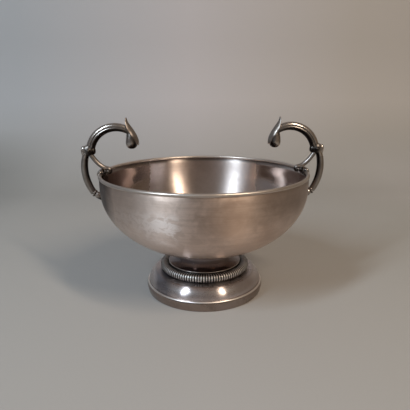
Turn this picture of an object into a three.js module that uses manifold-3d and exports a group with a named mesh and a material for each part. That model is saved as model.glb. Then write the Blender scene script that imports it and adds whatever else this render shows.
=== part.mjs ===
import * as THREE from "three";
import { mergeVertices } from "three/addons/utils/BufferGeometryUtils.js";
import Module from "manifold-3d";

// A footed silver-plated bowl with a gadrooned ring and two cast scroll handles.
// Millimetres, +Z up. The origin is the middle of the foot, on the table, and the handles lie along X.

const wasm = await Module();
wasm.setup();

// Solder line between pieces that touch
const GAP = 0.3;

// Bowl, spun from sheet, with a round wire on its rim
const BOWL_RADIUS = 80;
const BOWL_DEPTH = 65;
const STRAIGHT_WALL = 10.8;
const SHEET = 1.2;
const RIM_WIRE = 2.6;
const WIRE_PROUD = 0.6;
const BELLY_POWER = 2.05;

// Foot, from the table up: band, dome, flat shelf under the ring
const FOOT_RADIUS = 46.9;
const BAND_HEIGHT = 8;
const BAND_SHEET = 1.6;
const BAND_DRAFT = 0.8;
const BAND_LEDGE = 2;
const LIP_INSET = 1.5;
const DOME_RISE = 8.9;
const DOME_INSET = 0.7;
const SHELF_RUN = 3.4;
const SHOULDER = 1.7;

// Gadrooned ring on the seat
const RING_PROUD = 6.7;
const RING_HEIGHT = 6;
const RIB_COUNT = 110;
const RIB_DEPTH = 0.55;

// Neck between the ring and the bowl
const FLARE_RADIUS = 29;
const WAIST_RADIUS = 21.6;
const NECK_RISE = 8;
const SKIRT_INSET = 1.5;

// Handle, lower arm: an arc that bulges past the rim
const ARM_REACH = 11.2;
const ARM_LIFT = 2.4;
const ARM_ARC_RADIUS = 34;
const ARM_THICK = 5.3;
const ARM_WIDE = 5.8;
const ARM_FOOT_DROP = 16.6;

// Handle, knot where the arms and the strut meet
const KNOT_INSET = 1.3;
const KNOT_LIFT = 16.2;
const KNOT_LONG = 9.6;
const KNOT_TALL = 8.4;
const KNOT_WIDE = 7.4;

// Handle, reeded arch that curls over towards the bowl
const ARCH_RADIUS = 19.8;
const ARCH_ROOT_INSET = 0.9;
const ARCH_ROOT_DROP = 2.6;
const ARCH_THICK = 6.8;
const ARCH_WIDE = 6.4;
const ARCH_START = 4;
const ARCH_END = 126;

// Handle, bud that hangs from the end of the arch
const BUD_WIDE = 8.8;
const BUD_LONG = 12.5;

// Handle, pointed leaf that stands on the end of the arch
const LEAF_THICK = 2.2;
const LEAF_WIDE = 9.2;
const LEAF_CUP = 1.9;

// Handle, strut from the knot to the rim, with a small curl over the inside of the bowl
const STRUT_THICK = 3.5;
const STRUT_WIDE = 4;
const CURL_INSET = 6.7;
const CURL_RADIUS = 1.75;

// Handle, saddle on the rim and boss on the wall
const SADDLE_SPAN = 15;
const SADDLE_WALL = 1.6;
const BOSS_WIDE = 5.8;
const BOSS_LENGTH = 13;
const BOSS_LEAN = 58;

// Facets
const ROUND = 48;
const ROUND_BAR = 10;
const BELLY_STEPS = 9;

// Radii and heights that follow from the sizes above
const lipRadius = FOOT_RADIUS - LIP_INSET;
const ringRadius = FLARE_RADIUS + RING_PROUD;
const shelfRadius = ringRadius + SHELF_RUN;
const seatZ = BAND_HEIGHT + DOME_RISE;
const ringZ = seatZ + GAP;
const flareZ = ringZ + RING_HEIGHT + GAP;
const bowlZ = flareZ + NECK_RISE;
const rimZ = bowlZ + BOWL_DEPTH;
const springZ = rimZ - STRAIGHT_WALL;
const wallRadius = BOWL_RADIUS - WIRE_PROUD;
const wireRadius = RIM_WIRE / 2;
const wireRing = BOWL_RADIUS - wireRadius;

// A point of the handle: out from the rim's outer edge, up from the rim's top
function onHandle(out, up) {
  return new THREE.Vector3(BOWL_RADIUS + out, 0, rimZ + up);
}

// A geometry as a closed solid: shared corners merged, flat triangles dropped, faces outwards
function solid(geometry) {
  const bare = geometry.clone();
  bare.deleteAttribute("normal");
  bare.deleteAttribute("uv");
  const merged = mergeVertices(bare, 1e-4);
  const corners = merged.index.array;
  const kept = [];
  for (let i = 0; i < corners.length; i += 3) {
    const [a, b, c] = [corners[i], corners[i + 1], corners[i + 2]];
    if (a !== b && b !== c && c !== a) kept.push(a, b, c);
  }
  const points = merged.attributes.position.array;
  if (signedVolume(points, kept) < 0) kept.reverse();
  const mesh = new wasm.Mesh({
    numProp: 3,
    vertProperties: points,
    triVerts: new Uint32Array(kept),
  });
  return new wasm.Manifold(mesh);
}

function signedVolume(points, corners) {
  const at = (i) => new THREE.Vector3().fromArray(points, corners[i] * 3);
  let sum = 0;
  for (let i = 0; i < corners.length; i += 3) {
    sum += at(i).dot(at(i + 1).cross(at(i + 2)));
  }
  return sum / 6;
}

function geometryOf(made) {
  const { vertProperties, triVerts } = made.getMesh();
  const geometry = new THREE.BufferGeometry();
  geometry.setAttribute("position", new THREE.BufferAttribute(vertProperties, 3));
  geometry.setIndex(new THREE.BufferAttribute(triVerts, 1));
  geometry.computeVertexNormals();
  return geometry;
}

// The largest body that a cut leaves
function largest(made) {
  return made.decompose().reduce((a, b) => (a.volume() > b.volume() ? a : b));
}

function joined(solids) {
  return solids.reduce((a, b) => a.add(b));
}

// A profile of [radius, height] points turned about the Z axis
function turned(profile, segments = ROUND) {
  const points = profile.map(([r, z]) => new THREE.Vector2(r, z));
  return new THREE.LatheGeometry(points, segments).rotateX(Math.PI / 2);
}

// The same for a ring, whose profile closes on itself
function turnedRing(profile, segments = ROUND) {
  return turned([...profile, profile[0]], segments);
}

// Points of a quarter curve between two [radius, height] points, bulging to the given corner
function bend(from, corner, to, steps) {
  const curve = new THREE.QuadraticBezierCurve(
    new THREE.Vector2(...from),
    new THREE.Vector2(...corner),
    new THREE.Vector2(...to),
  );
  return curve.getPoints(steps).map((p) => [p.x, p.y]);
}

// The belly from the axis up to the straight wall, close-set where it bends most
function bellyPoints(grow) {
  const depth = springZ - bowlZ + grow;
  const points = [];
  for (let i = 0; i <= BELLY_STEPS; i++) {
    const angle = (Math.PI / 2) * (1 - i / BELLY_STEPS);
    const radius = (wallRadius + grow) * Math.cos(angle) ** (2 / BELLY_POWER);
    points.push([i === 0 ? 0 : radius, springZ - depth * Math.sin(angle)]);
  }
  return points;
}

function bowlShell() {
  const top = rimZ - RIM_WIRE - GAP;
  const outside = [...bellyPoints(0), [wallRadius, top]];
  const inside = [...bellyPoints(-SHEET), [wallRadius - SHEET, top]];
  return solid(turned([...outside, ...inside.reverse()]));
}

// All that lies inside the bowl's outer skin, moved out by the solder line
function bowlVolume(grow) {
  return solid(turned([...bellyPoints(grow), [wallRadius + grow, rimZ], [0, rimZ]]));
}

function rimWire(grow = 0, segments = ROUND) {
  const torus = new THREE.TorusGeometry(wireRing, wireRadius + grow, 7, segments);
  return solid(torus.translate(0, 0, rimZ - wireRadius));
}

// Spool: a seat under the bowl, a waist, a flare with a sharp edge, a skirt inside the ring
function neckSpool() {
  const seat = (radius) => belowBowl(radius) - GAP;
  const skirt = FLARE_RADIUS - SKIRT_INSET;
  const bore = WAIST_RADIUS - SHEET;
  const waistZ = flareZ + NECK_RISE * 0.85;
  const hollow = [bore, waistZ - SHEET];
  const under = flareZ - SHEET;
  const flare = bend([WAIST_RADIUS, waistZ], [WAIST_RADIUS + 0.6, flareZ + 1.2], [FLARE_RADIUS, flareZ], 3);
  const profile = [
    [WAIST_RADIUS + 0.6, seat(WAIST_RADIUS + 0.6)],
    ...flare,
    [FLARE_RADIUS, flareZ - 0.5],
    [skirt, under],
    [skirt, ringZ],
    [skirt - SHEET, ringZ],
    [skirt - SHEET, under - SHEET * 0.6],
    hollow,
    [bore, seat(bore)],
  ];
  return solid(turnedRing(profile));
}

// Height of the bowl's underside at a radius
function belowBowl(radius) {
  const share = Math.min(1, radius / wallRadius) ** BELLY_POWER;
  return springZ - (springZ - bowlZ) * Math.sqrt(1 - share);
}

// Upright gadroons: a half-round ring, with a groove between each two ribs
function gadroonRing() {
  const inner = FLARE_RADIUS - SKIRT_INSET + GAP;
  const mid = ringZ + RING_HEIGHT / 2;
  const half = RING_HEIGHT / 2;
  const middle = ringRadius - half;
  const face = [];
  for (const degrees of [-68, -24, 20, 62]) {
    const angle = THREE.MathUtils.degToRad(degrees);
    face.push([middle + half * Math.cos(angle), mid + half * Math.sin(angle)]);
  }
  const profile = [[inner, ringZ], ...face, [inner, flareZ - SHEET - 1]];
  const geometry = turnedRing(profile, RIB_COUNT * 3);
  return solid(groove(geometry, middle, ringRadius));
}

// Pushes every third meridian in, deepest where the ring stands out most
function groove(geometry, from, to) {
  const place = geometry.attributes.position;
  const point = new THREE.Vector3();
  for (let i = 0; i < place.count; i++) {
    point.fromBufferAttribute(place, i);
    const radius = Math.hypot(point.x, point.y);
    const turn = Math.atan2(point.y, point.x) / (2 * Math.PI);
    const meridian = Math.round(turn * RIB_COUNT * 3);
    const share = THREE.MathUtils.clamp((radius - from) / (to - from), 0, 1);
    const depth = meridian % 3 === 0 ? RIB_DEPTH * Math.sqrt(share) : 0;
    const scale = (radius - depth) / radius;
    place.setXYZ(i, point.x * scale, point.y * scale, point.z);
  }
  return geometry;
}

// Domed foot: a flat shelf that carries the ring, a tight shoulder, then a full slope to the band
function footDome() {
  const edge = lipRadius - DOME_INSET;
  const hole = FLARE_RADIUS - SKIRT_INSET - SHEET * 2;
  const shoulder = [shelfRadius + SHOULDER, seatZ - SHOULDER * 0.53];
  const slope = [lipRadius - 0.2, seatZ - DOME_RISE * 0.5];
  const outside = [
    [hole, seatZ],
    [shelfRadius, seatZ],
    [shelfRadius + SHOULDER * 0.53, seatZ - SHOULDER * 0.12],
    ...bend(shoulder, slope, [edge, BAND_HEIGHT - 0.2], 4),
  ];
  const [inner, under] = [edge - SHEET, seatZ - SHEET];
  const inside = [
    [edge, ledgeZ() + GAP],
    [inner, ledgeZ() + GAP],
    ...bend([inner, BAND_HEIGHT - 0.2], [inner, under - 3.6], [shelfRadius + 0.5, under - 0.7], 2),
    [shelfRadius - 0.6, under],
    [hole, under],
  ];
  return solid(turnedRing([...outside, ...inside]));
}

// Height of the ledge inside the band, which carries the dome's edge
function ledgeZ() {
  return BAND_HEIGHT - BAND_LEDGE;
}

// Base band: a softly swelling wall that rolls in to a lip at the top, with a ledge inside
function footBand() {
  const seat = lipRadius - 0.4;
  const inner = FOOT_RADIUS - BAND_DRAFT - BAND_SHEET;
  const outside = [
    [FOOT_RADIUS - BAND_DRAFT - 0.3, 0],
    [FOOT_RADIUS - BAND_DRAFT, 0.5],
    [FOOT_RADIUS, BAND_HEIGHT - 3.6],
    [FOOT_RADIUS - 0.2, BAND_HEIGHT - 1.7],
    [FOOT_RADIUS - 0.7, BAND_HEIGHT - 0.6],
    [lipRadius, BAND_HEIGHT],
    [seat, BAND_HEIGHT - 0.3],
  ];
  const inside = [
    [seat, ledgeZ()],
    [seat - 1.6, ledgeZ()],
    [inner, ledgeZ() - 1.6],
    [inner, 0],
  ];
  return solid(turnedRing([...outside, ...inside]));
}

// A closed bar bent along a curve in the plane Y = 0.
// size(t) gives its half thickness in the plane and half width across it; shape(angle) its outline.
function bar(curve, size, steps, sides = ROUND_BAR, shape = () => 1) {
  const geometry = new THREE.CylinderGeometry(1, 1, 1, sides, steps);
  const place = geometry.attributes.position;
  for (let i = 0; i < place.count; i++) {
    const t = THREE.MathUtils.clamp(place.getY(i) + 0.5, 0, 1);
    const [across, along] = [place.getX(i), place.getZ(i)];
    const outline = across || along ? shape(Math.atan2(along, across)) : 1;
    const [thick, wide] = size(t);
    const middle = curve.getPoint(t);
    const way = curve.getTangent(t);
    const out = new THREE.Vector3(way.z, 0, -way.x);
    middle.addScaledVector(out, along * thick * outline);
    place.setXYZ(i, middle.x, middle.y + across * wide * outline, middle.z);
  }
  return solid(geometry);
}

// An arc in the plane Y = 0 about a middle point, angles in degrees from +X towards +Z
function arc(middle, radius, from, to, steps = 16) {
  const points = [];
  for (let i = 0; i <= steps; i++) {
    const angle = THREE.MathUtils.degToRad(from + ((to - from) * i) / steps);
    const step = new THREE.Vector3(Math.cos(angle), 0, Math.sin(angle));
    points.push(step.multiplyScalar(radius).add(middle));
  }
  return new THREE.CatmullRomCurve3(points);
}

// A ball squashed to the three given widths
function ball(middle, long, wide, tall, tilt = 0, sides = 8, rings = 5) {
  const sphere = new THREE.SphereGeometry(0.5, sides, rings).rotateX(Math.PI / 2);
  sphere.scale(long, wide, tall).rotateY(THREE.MathUtils.degToRad(-tilt));
  return solid(sphere.translate(middle.x, middle.y, middle.z));
}

function armMiddle() {
  return onHandle(ARM_REACH - ARM_ARC_RADIUS, ARM_LIFT);
}

// Angle on the arm's arc at a height above the rim
function armAngle(up) {
  const share = (up - ARM_LIFT) / ARM_ARC_RADIUS;
  return THREE.MathUtils.radToDeg(Math.asin(THREE.MathUtils.clamp(share, -0.95, 0.95)));
}

// Middle of the knot, just inside the arm's line
function knotMiddle() {
  const rise = KNOT_LIFT - ARM_LIFT;
  const line = ARM_REACH - ARM_ARC_RADIUS + Math.sqrt(ARM_ARC_RADIUS ** 2 - rise ** 2);
  return onHandle(line - KNOT_INSET, KNOT_LIFT);
}

function lowerArm(grow) {
  const curve = arc(armMiddle(), ARM_ARC_RADIUS, armAngle(-ARM_FOOT_DROP), armAngle(KNOT_LIFT - 2));
  const size = (t) => [
    (ARM_THICK / 2) * (0.93 + 0.1 * Math.sin(Math.PI * t)) + grow,
    (ARM_WIDE / 2) * (0.95 + 0.07 * t) + grow,
  ];
  return bar(curve, size, 8);
}

// Two reeds with a groove between them run along each side of the arch
function reeds(angle) {
  const height = Math.sin(angle);
  const dip = (at, width) => Math.exp(-(((height - at) / width) ** 2));
  return 1 - 0.2 * dip(0, 0.2) - 0.14 * dip(-0.71, 0.1);
}

// Middle of the arch's circle, placed so that the arch springs from the knot
function archMiddle() {
  const root = new THREE.Vector3(-ARCH_ROOT_INSET - ARCH_RADIUS, 0, -ARCH_ROOT_DROP);
  return root.add(knotMiddle());
}

function arch(grow) {
  const middle = archMiddle();
  const curve = arc(middle, ARCH_RADIUS, ARCH_START, ARCH_END, 24);
  const size = (t) => [
    (ARCH_THICK / 2) * (1 - 0.2 * t ** 3) + grow,
    (ARCH_WIDE / 2) * (0.95 + 0.06 * Math.sin(Math.PI * t)) + grow,
  ];
  return bar(curve, size, 12, 16, reeds);
}

function archEnd() {
  const angle = THREE.MathUtils.degToRad(ARCH_END);
  const step = new THREE.Vector3(Math.cos(angle), 0, Math.sin(angle));
  return step.multiplyScalar(ARCH_RADIUS).add(archMiddle());
}

// A drop, stem up in the end of the arch and round end down
function bud(grow) {
  const half = BUD_WIDE / 2 + grow;
  const belly = BUD_LONG * 0.6;
  const stem = half * 0.75;
  const low = BUD_LONG + grow;
  const profile = [
    [0, 1.2],
    [stem, 0.8],
    ...bend([stem, -1], [half * 0.98, -belly * 0.6], [half, -belly], 2),
    ...bend([half * 0.97, -belly - 1.4], [half * 0.85, -low], [0, -low], 3),
  ];
  const end = archEnd();
  return solid(turned(profile, 12).translate(end.x, end.y, end.z));
}

// Knot: a squashed ball with a lobe at each end and a round stud on each face
function knot(grow) {
  const middle = knotMiddle();
  const size = 2 * grow;
  const at = (x, y, z) => new THREE.Vector3(x, y, z).add(middle);
  const tilt = 25;
  const body = ball(middle, KNOT_LONG + size, KNOT_WIDE + size, KNOT_TALL + size, tilt, 10, 6);
  const outer = ball(at(KNOT_LONG * 0.42, 0, -0.9), 3.8 + size, 5.6 + size, 8.6 + size, -5);
  const inner = ball(at(-KNOT_LONG * 0.36, 0, 0), 3.2 + size, 4.8 + size, 6 + size, -8);
  const studs = [-1, 1].map((side) => {
    return ball(at(0, (side * KNOT_WIDE) / 2, -0.3), 3 + size, 2 + size, 3 + size, 0, 6, 4);
  });
  return joined([body, outer, inner, ...studs]);
}

// One casting: lower arm, knot, reeded arch and bud
function scroll(grow = 0) {
  return joined([lowerArm(grow), knot(grow), arch(grow), bud(grow)]);
}

// A pointed leaf: its tip stands above the arch, its lower end lips out below the bud's shoulder.
// A plate bent along a curve, cupped round the arch's end, with a vein and three lobes on each side.
function leaf(grow = 0) {
  const end = archEnd();
  const at = (x, z) => new THREE.Vector3(x, 0, z).add(end);
  const curve = new THREE.CubicBezierCurve3(at(4, 10.7), at(4.6, 4.4), at(-3.4, -1.6), at(-5, -9.3));
  const geometry = new THREE.BoxGeometry(2, 1, 1, 4, 12, 1);
  const place = geometry.attributes.position;
  for (let i = 0; i < place.count; i++) {
    const t = THREE.MathUtils.clamp(place.getY(i) + 0.5, 0, 1);
    const across = place.getX(i);
    const vein = across === 0 && place.getZ(i) > 0 ? 0.45 : 0;
    const thick = LEAF_THICK * Math.min(1, 0.3 + 1.6 * t) * (1 - 0.35 * across * across) + 2 * grow;
    const way = curve.getTangent(t);
    const out = new THREE.Vector3(way.z, 0, -way.x);
    const cup = LEAF_CUP * Math.sin(Math.PI * t) * across * across;
    const middle = curve.getPoint(t).addScaledVector(way, (2 * t - 1) * grow);
    middle.addScaledVector(out, place.getZ(i) * thick - cup + vein);
    place.setXYZ(i, middle.x, across * (leafHalfWidth(t) + grow), middle.z);
  }
  return solid(geometry);
}

// Half the leaf's width from its tip (t = 0) to its lip (t = 1)
function leafHalfWidth(t) {
  const blade = Math.sin(Math.PI * Math.min(0.84, 0.05 + t * 0.8));
  const lobes = 1 + 0.09 * Math.cos(2 * Math.PI * 3 * t);
  return (LEAF_WIDE / 2) * Math.max(0.08, blade * lobes);
}

// The strut's line: down from the knot, level over the rim, then a curl on the bowl's side
function strutCurve() {
  const knotFoot = knotMiddle().add(new THREE.Vector3(-0.8, 0, -2.4));
  const curl = onHandle(-CURL_INSET, 0.3);
  const top = curl.clone().add(new THREE.Vector3(0, 0, CURL_RADIUS));
  const corner = new THREE.Vector3((knotFoot.x + top.x) / 2 + 0.3, 0, top.z + 0.9);
  const run = new THREE.QuadraticBezierCurve3(knotFoot, corner, top).getPoints(8);
  for (const degrees of [40, 80, 125, 170, 215, 260]) {
    const angle = THREE.MathUtils.degToRad(90 + degrees);
    const radius = CURL_RADIUS * (1 - degrees / 500);
    const step = new THREE.Vector3(Math.cos(angle), 0, Math.sin(angle));
    run.push(step.multiplyScalar(radius).add(curl));
  }
  return new THREE.CatmullRomCurve3(run);
}

function strut(grow = 0) {
  const taper = (t) => (t < 0.6 ? 1 : 1 - 1.15 * (t - 0.6));
  const size = (t) => [(STRUT_THICK / 2) * taper(t) + grow, (STRUT_WIDE / 2) * taper(t) ** 0.5 + grow];
  const eye = onHandle(-CURL_INSET, 0.2);
  const eyeSize = 2.6 + 2 * grow;
  const rod = bar(strutCurve(), size, 15, 8);
  return rod.add(ball(eye, eyeSize, STRUT_WIDE + 0.6 + 2 * grow, eyeSize));
}

// A pad bent along the rim, wrapped over the wire, with a bead at each end
function saddle() {
  const half = SADDLE_SPAN / 2 / wireRing;
  const geometry = new THREE.CylinderGeometry(1, 1, 1, ROUND_BAR, 6);
  const place = geometry.attributes.position;
  for (let i = 0; i < place.count; i++) {
    const t = place.getY(i) * 2;
    const angle = t * half;
    const thick = wireRadius + GAP + SADDLE_WALL * (1 - 0.6 * t * t);
    const radius = wireRing + place.getX(i) * thick;
    const height = rimZ - wireRadius + place.getZ(i) * thick;
    place.setXYZ(i, radius * Math.cos(angle), radius * Math.sin(angle), height);
  }
  const beads = [-1, 1].map((side) => {
    const angle = side * half;
    const across = new THREE.Vector3(wireRing * Math.cos(angle), wireRing * Math.sin(angle), rimZ + 0.5);
    return ball(across, 3, 3, 2.6, 0, 7, 4);
  });
  return joined([solid(geometry), ...beads]);
}

// A turned boss on the bowl's wall, with a collar that takes the foot of the arm
function boss(grow = 0) {
  const angle = armAngle(-ARM_FOOT_DROP);
  const turn = THREE.MathUtils.degToRad(angle);
  const step = new THREE.Vector3(Math.cos(turn), 0, Math.sin(turn));
  const head = step.multiplyScalar(ARM_ARC_RADIUS).add(armMiddle());
  const half = BOSS_WIDE / 2;
  const points = [
    [0, -BOSS_LENGTH],
    [half * 0.8, -BOSS_LENGTH],
    [half * 0.94, -3.2],
    [half * 0.78, -1.5],
    [half, -1],
    [half, 0],
    [0, 0],
  ];
  const profile = points.map(([r, z]) => [r ? r + grow : 0, z < 0 ? z : z + grow]);
  const lean = THREE.MathUtils.degToRad(BOSS_LEAN);
  const geometry = turned(profile, 12).rotateY(lean);
  return solid(geometry.translate(head.x, head.y, head.z));
}

// Looks, from the photograph: aged silver plate, darker in the castings and the neck
function plate(color, roughness) {
  return new THREE.MeshStandardMaterial({ color, roughness, metalness: 1 });
}

function piece(name, made, material) {
  const mesh = new THREE.Mesh(geometryOf(made), material);
  mesh.name = name;
  return mesh;
}

// The five cast pieces of one handle, each cut clear of what it is soldered to
function handle(side) {
  const group = new THREE.Group();
  const name = (what) => `handle_${side}_${what}`;
  const add = (what, made, color) => group.add(piece(name(what), largest(made), plate(color, 0.3)));
  const grownScroll = scroll(GAP);
  const grownStrut = strut(GAP);
  const body = bowlVolume(GAP);
  const wire = rimWire(GAP);
  add("scroll", scroll().subtract(boss(GAP)).subtract(leaf(GAP)), 0x6f6459);
  add("leaf", leaf(), 0x85786a);
  add("strut", strut().subtract(grownScroll), 0x6f6459);
  add("rim_saddle", saddle().subtract(wire).subtract(wallBand()).subtract(grownStrut), 0x7a6d5f);
  add("wall_boss", boss().subtract(body), 0x554b43);
  return group;
}

// The straight wall just below the wire, with the solder line on both sides
function wallBand() {
  const inner = wallRadius - SHEET - GAP;
  const outer = wallRadius + GAP;
  const top = rimZ - wireRadius;
  return solid(turnedRing([[inner, springZ], [outer, springZ], [outer, top], [inner, top]]));
}

function body() {
  const group = new THREE.Group();
  group.add(piece("bowl_shell", bowlShell(), plate(0x8f8375, 0.25)));
  group.add(piece("rim_wire", rimWire(), plate(0xa09486, 0.22)));
  group.add(piece("neck_spool", neckSpool(), plate(0x4a423c, 0.25)));
  group.add(piece("gadroon_ring", gadroonRing(), plate(0x9a8f83, 0.28)));
  group.add(piece("foot_dome", footDome(), plate(0x8a7b70, 0.22)));
  group.add(piece("foot_band", footBand(), plate(0x6e6357, 0.25)));
  return group;
}

// The right handle as made, the left one its mirror image
const footedBowl = new THREE.Group();
footedBowl.add(body());
footedBowl.add(handle("right"));
const leftHandle = handle("left");
leftHandle.scale.x = -1;
footedBowl.add(leftHandle);

export default footedBowl;
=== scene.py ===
import math

import bmesh
import bpy
import numpy as np
from mathutils import Matrix, Vector

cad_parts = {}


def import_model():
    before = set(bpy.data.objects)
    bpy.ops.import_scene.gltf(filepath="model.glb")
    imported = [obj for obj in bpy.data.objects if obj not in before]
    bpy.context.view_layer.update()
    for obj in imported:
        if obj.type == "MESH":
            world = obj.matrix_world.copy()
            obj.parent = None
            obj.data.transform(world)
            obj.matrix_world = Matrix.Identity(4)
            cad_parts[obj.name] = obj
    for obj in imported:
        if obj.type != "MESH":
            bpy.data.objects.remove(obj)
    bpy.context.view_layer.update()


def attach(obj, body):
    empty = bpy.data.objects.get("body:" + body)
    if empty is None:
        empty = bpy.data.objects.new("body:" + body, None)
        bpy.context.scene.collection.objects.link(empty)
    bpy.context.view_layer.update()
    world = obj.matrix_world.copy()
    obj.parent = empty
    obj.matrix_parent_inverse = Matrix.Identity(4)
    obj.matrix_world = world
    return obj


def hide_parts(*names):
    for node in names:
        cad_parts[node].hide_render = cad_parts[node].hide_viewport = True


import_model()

# The looks of a footed silver-plated bowl. Lengths are in millimetres, and MM turns them into metres.
MM = 0.001

# Sizes shared with the CAD model
BOWL_RADIUS = 80
BOWL_DEPTH = 65
STRAIGHT_WALL = 10.8
SHEET = 1.2
RIM_WIRE = 2.6
WIRE_PROUD = 0.6
BELLY_POWER = 2.05
FOOT_RADIUS = 46.9
BAND_HEIGHT = 8
BAND_SHEET = 1.6
BAND_DRAFT = 0.8
BAND_LEDGE = 2
LIP_INSET = 1.5
DOME_RISE = 8.9
DOME_INSET = 0.7
SHELF_RUN = 3.4
SHOULDER = 1.7
RING_PROUD = 6.7
RING_HEIGHT = 6
RIB_COUNT = 110
FLARE_RADIUS = 29
WAIST_RADIUS = 21.6
NECK_RISE = 8
SKIRT_INSET = 1.5
GAP = 0.3
ARM_REACH = 11.2
ARM_LIFT = 2.4
ARM_ARC_RADIUS = 34
ARM_THICK = 5.3
ARM_WIDE = 5.8
ARM_FOOT_DROP = 16.6
KNOT_INSET = 1.3
KNOT_LIFT = 16.2
KNOT_LONG = 9.6
KNOT_TALL = 8.4
KNOT_WIDE = 7.4
ARCH_RADIUS = 19.8
ARCH_ROOT_INSET = 0.9
ARCH_ROOT_DROP = 2.6
ARCH_THICK = 6.8
ARCH_WIDE = 6.4
ARCH_START = 4
ARCH_END = 126
BUD_WIDE = 8.8
BUD_LONG = 12.5
LEAF_THICK = 2.2
LEAF_WIDE = 9.2
LEAF_CUP = 1.9
STRUT_THICK = 3.5
STRUT_WIDE = 4
CURL_INSET = 6.7
CURL_RADIUS = 1.75
SADDLE_SPAN = 15
SADDLE_WALL = 1.6
BOSS_WIDE = 5.8
BOSS_LENGTH = 13
BOSS_LEAN = 58

# Finer detail that only the looks have
RIB_DEPTH = 1.0
RIB_STEPS = 12
RIB_ROWS = 21
ROUND_STEPS = 256
SMALL_ROUND_STEPS = 48
WIRE_STEPS = 24
BELLY_STEPS = 56
ARM_STEPS = 60
ARM_SIDES = 32
ARCH_STEPS = 110
ARCH_SIDES = 72
STRUT_STEPS = 40
STRUT_SIDES = 28
CURL_STEPS = 60
SADDLE_ROWS = 41
SADDLE_SIDES = 32
CAST_VOXEL = 0.24
CAST_SMOOTHING = 6
FINE_VOXEL = 0.2
FINE_SMOOTHING = 4
MITRE_SHARE = 0.48
SINK_RANGE = 0.12

# Radii and heights that follow
LIP_RADIUS = FOOT_RADIUS - LIP_INSET
RING_RADIUS = FLARE_RADIUS + RING_PROUD
SHELF_RADIUS = RING_RADIUS + SHELF_RUN
SEAT_Z = BAND_HEIGHT + DOME_RISE
LEDGE_Z = BAND_HEIGHT - BAND_LEDGE
RING_Z = SEAT_Z + GAP
FLARE_Z = RING_Z + RING_HEIGHT + GAP
BOWL_Z = FLARE_Z + NECK_RISE
RIM_Z = BOWL_Z + BOWL_DEPTH
SPRING_Z = RIM_Z - STRAIGHT_WALL
WALL_RADIUS = BOWL_RADIUS - WIRE_PROUD
WIRE_RING = BOWL_RADIUS - RIM_WIRE / 2


# Meshes


def linked(name, data):
    """A new object in the scene that shows a mesh, a camera or a light."""
    made = bpy.data.objects.new(name, data)
    bpy.context.scene.collection.objects.link(made)
    return made


def mesh_object(name, verts, faces, material):
    """A smooth piece from points in millimetres, its faces turned outwards."""
    mesh = bpy.data.meshes.new(name)
    mesh.from_pydata([tuple(v) for v in np.asarray(verts) * MM], [], faces)
    work = bmesh.new()
    work.from_mesh(mesh)
    bmesh.ops.recalc_face_normals(work, faces=work.faces)
    work.to_mesh(mesh)
    work.free()
    mesh.polygons.foreach_set("use_smooth", [True] * len(mesh.polygons))
    piece = linked(name, mesh)
    piece.data.materials.append(material)
    return piece


def rounded(outline, steps=4, closed=True):
    """Points of an outline. A corner given as (r, z, radius) becomes a small curve."""
    made = []
    count = len(outline)
    for i, corner in enumerate(outline):
        here = np.array(corner[:2], float)
        inner = closed or 0 < i < count - 1
        if len(corner) < 3 or not inner:
            made.append(tuple(here))
            continue
        before = np.array(outline[i - 1][:2], float) - here
        after = np.array(outline[(i + 1) % count][:2], float) - here
        reach = min(corner[2], MITRE_SHARE * np.linalg.norm(before), MITRE_SHARE * np.linalg.norm(after))
        start = here + before / np.linalg.norm(before) * reach
        end = here + after / np.linalg.norm(after) * reach
        made += bend(start, here, end, steps)
    return made


def bend(start, corner, end, steps):
    """Points of a quarter curve that bulges to the corner."""
    a, b, c = (np.array(p, float) for p in (start, corner, end))
    return [tuple((1 - t) ** 2 * a + 2 * t * (1 - t) * b + t * t * c) for t in np.linspace(0, 1, steps + 1)]


def revolve(outline, segments=ROUND_STEPS):
    """A closed outline of (r, z) points turned about Z. A point on the axis becomes one vertex."""
    verts, rings = [], []
    angles = np.linspace(0, 2 * math.pi, segments, endpoint=False)
    for r, z in outline:
        if r < 1e-6:
            rings.append([len(verts)] * segments)
            verts.append((0, 0, z))
            continue
        rings.append(list(range(len(verts), len(verts) + segments)))
        verts += [(r * math.cos(a), r * math.sin(a), z) for a in angles]
    faces = []
    for i, low in enumerate(rings):
        high = rings[(i + 1) % len(rings)]
        for j in range(segments):
            k = (j + 1) % segments
            face = list(dict.fromkeys((low[j], low[k], high[k], high[j])))
            if len(face) > 2:
                faces.append(face)
    return np.array(verts), faces


def sleeve(rows, sides, closed=False):
    """Faces between rows of points that each run round. A closed sleeve's last row meets its first."""
    faces = []
    for i in range(rows if closed else rows - 1):
        low, high = i * sides, (i + 1) % rows * sides
        for k in range(sides):
            m = (k + 1) % sides
            faces.append((low + k, low + m, high + m, high + k))
    return faces


def cap(verts, faces, row, sides, middle):
    """Closes one row of a sleeve with faces round a new middle point."""
    hub = len(verts)
    verts.append(middle)
    faces += [(hub, row * sides + k, row * sides + (k + 1) % sides) for k in range(sides)]


def tube(middles, outs, sides, size, shape=lambda angle, t: 1.0):
    """A closed bar along points in the plane Y = 0. size(t) gives half its thickness and half its width."""
    count = len(middles)
    verts = []
    for i, (middle, out) in enumerate(zip(middles, outs)):
        t = i / (count - 1)
        thick, wide = size(t)
        for k in range(sides):
            angle = 2 * math.pi * k / sides
            scale = shape(angle, t)
            point = middle + out * thick * math.sin(angle) * scale
            verts.append((point[0], wide * math.cos(angle) * scale, point[1]))
    faces = sleeve(count, sides)
    for row in (0, count - 1):
        cap(verts, faces, row, sides, (middles[row][0], 0, middles[row][1]))
    return np.array(verts), faces


def along(points):
    """Points of a path in the (x, z) plane and the direction square to the path at each."""
    points = np.array(points, float)
    way = np.gradient(points, axis=0)
    way /= np.linalg.norm(way, axis=1)[:, None]
    return points, np.stack([way[:, 1], -way[:, 0]], 1)


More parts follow.
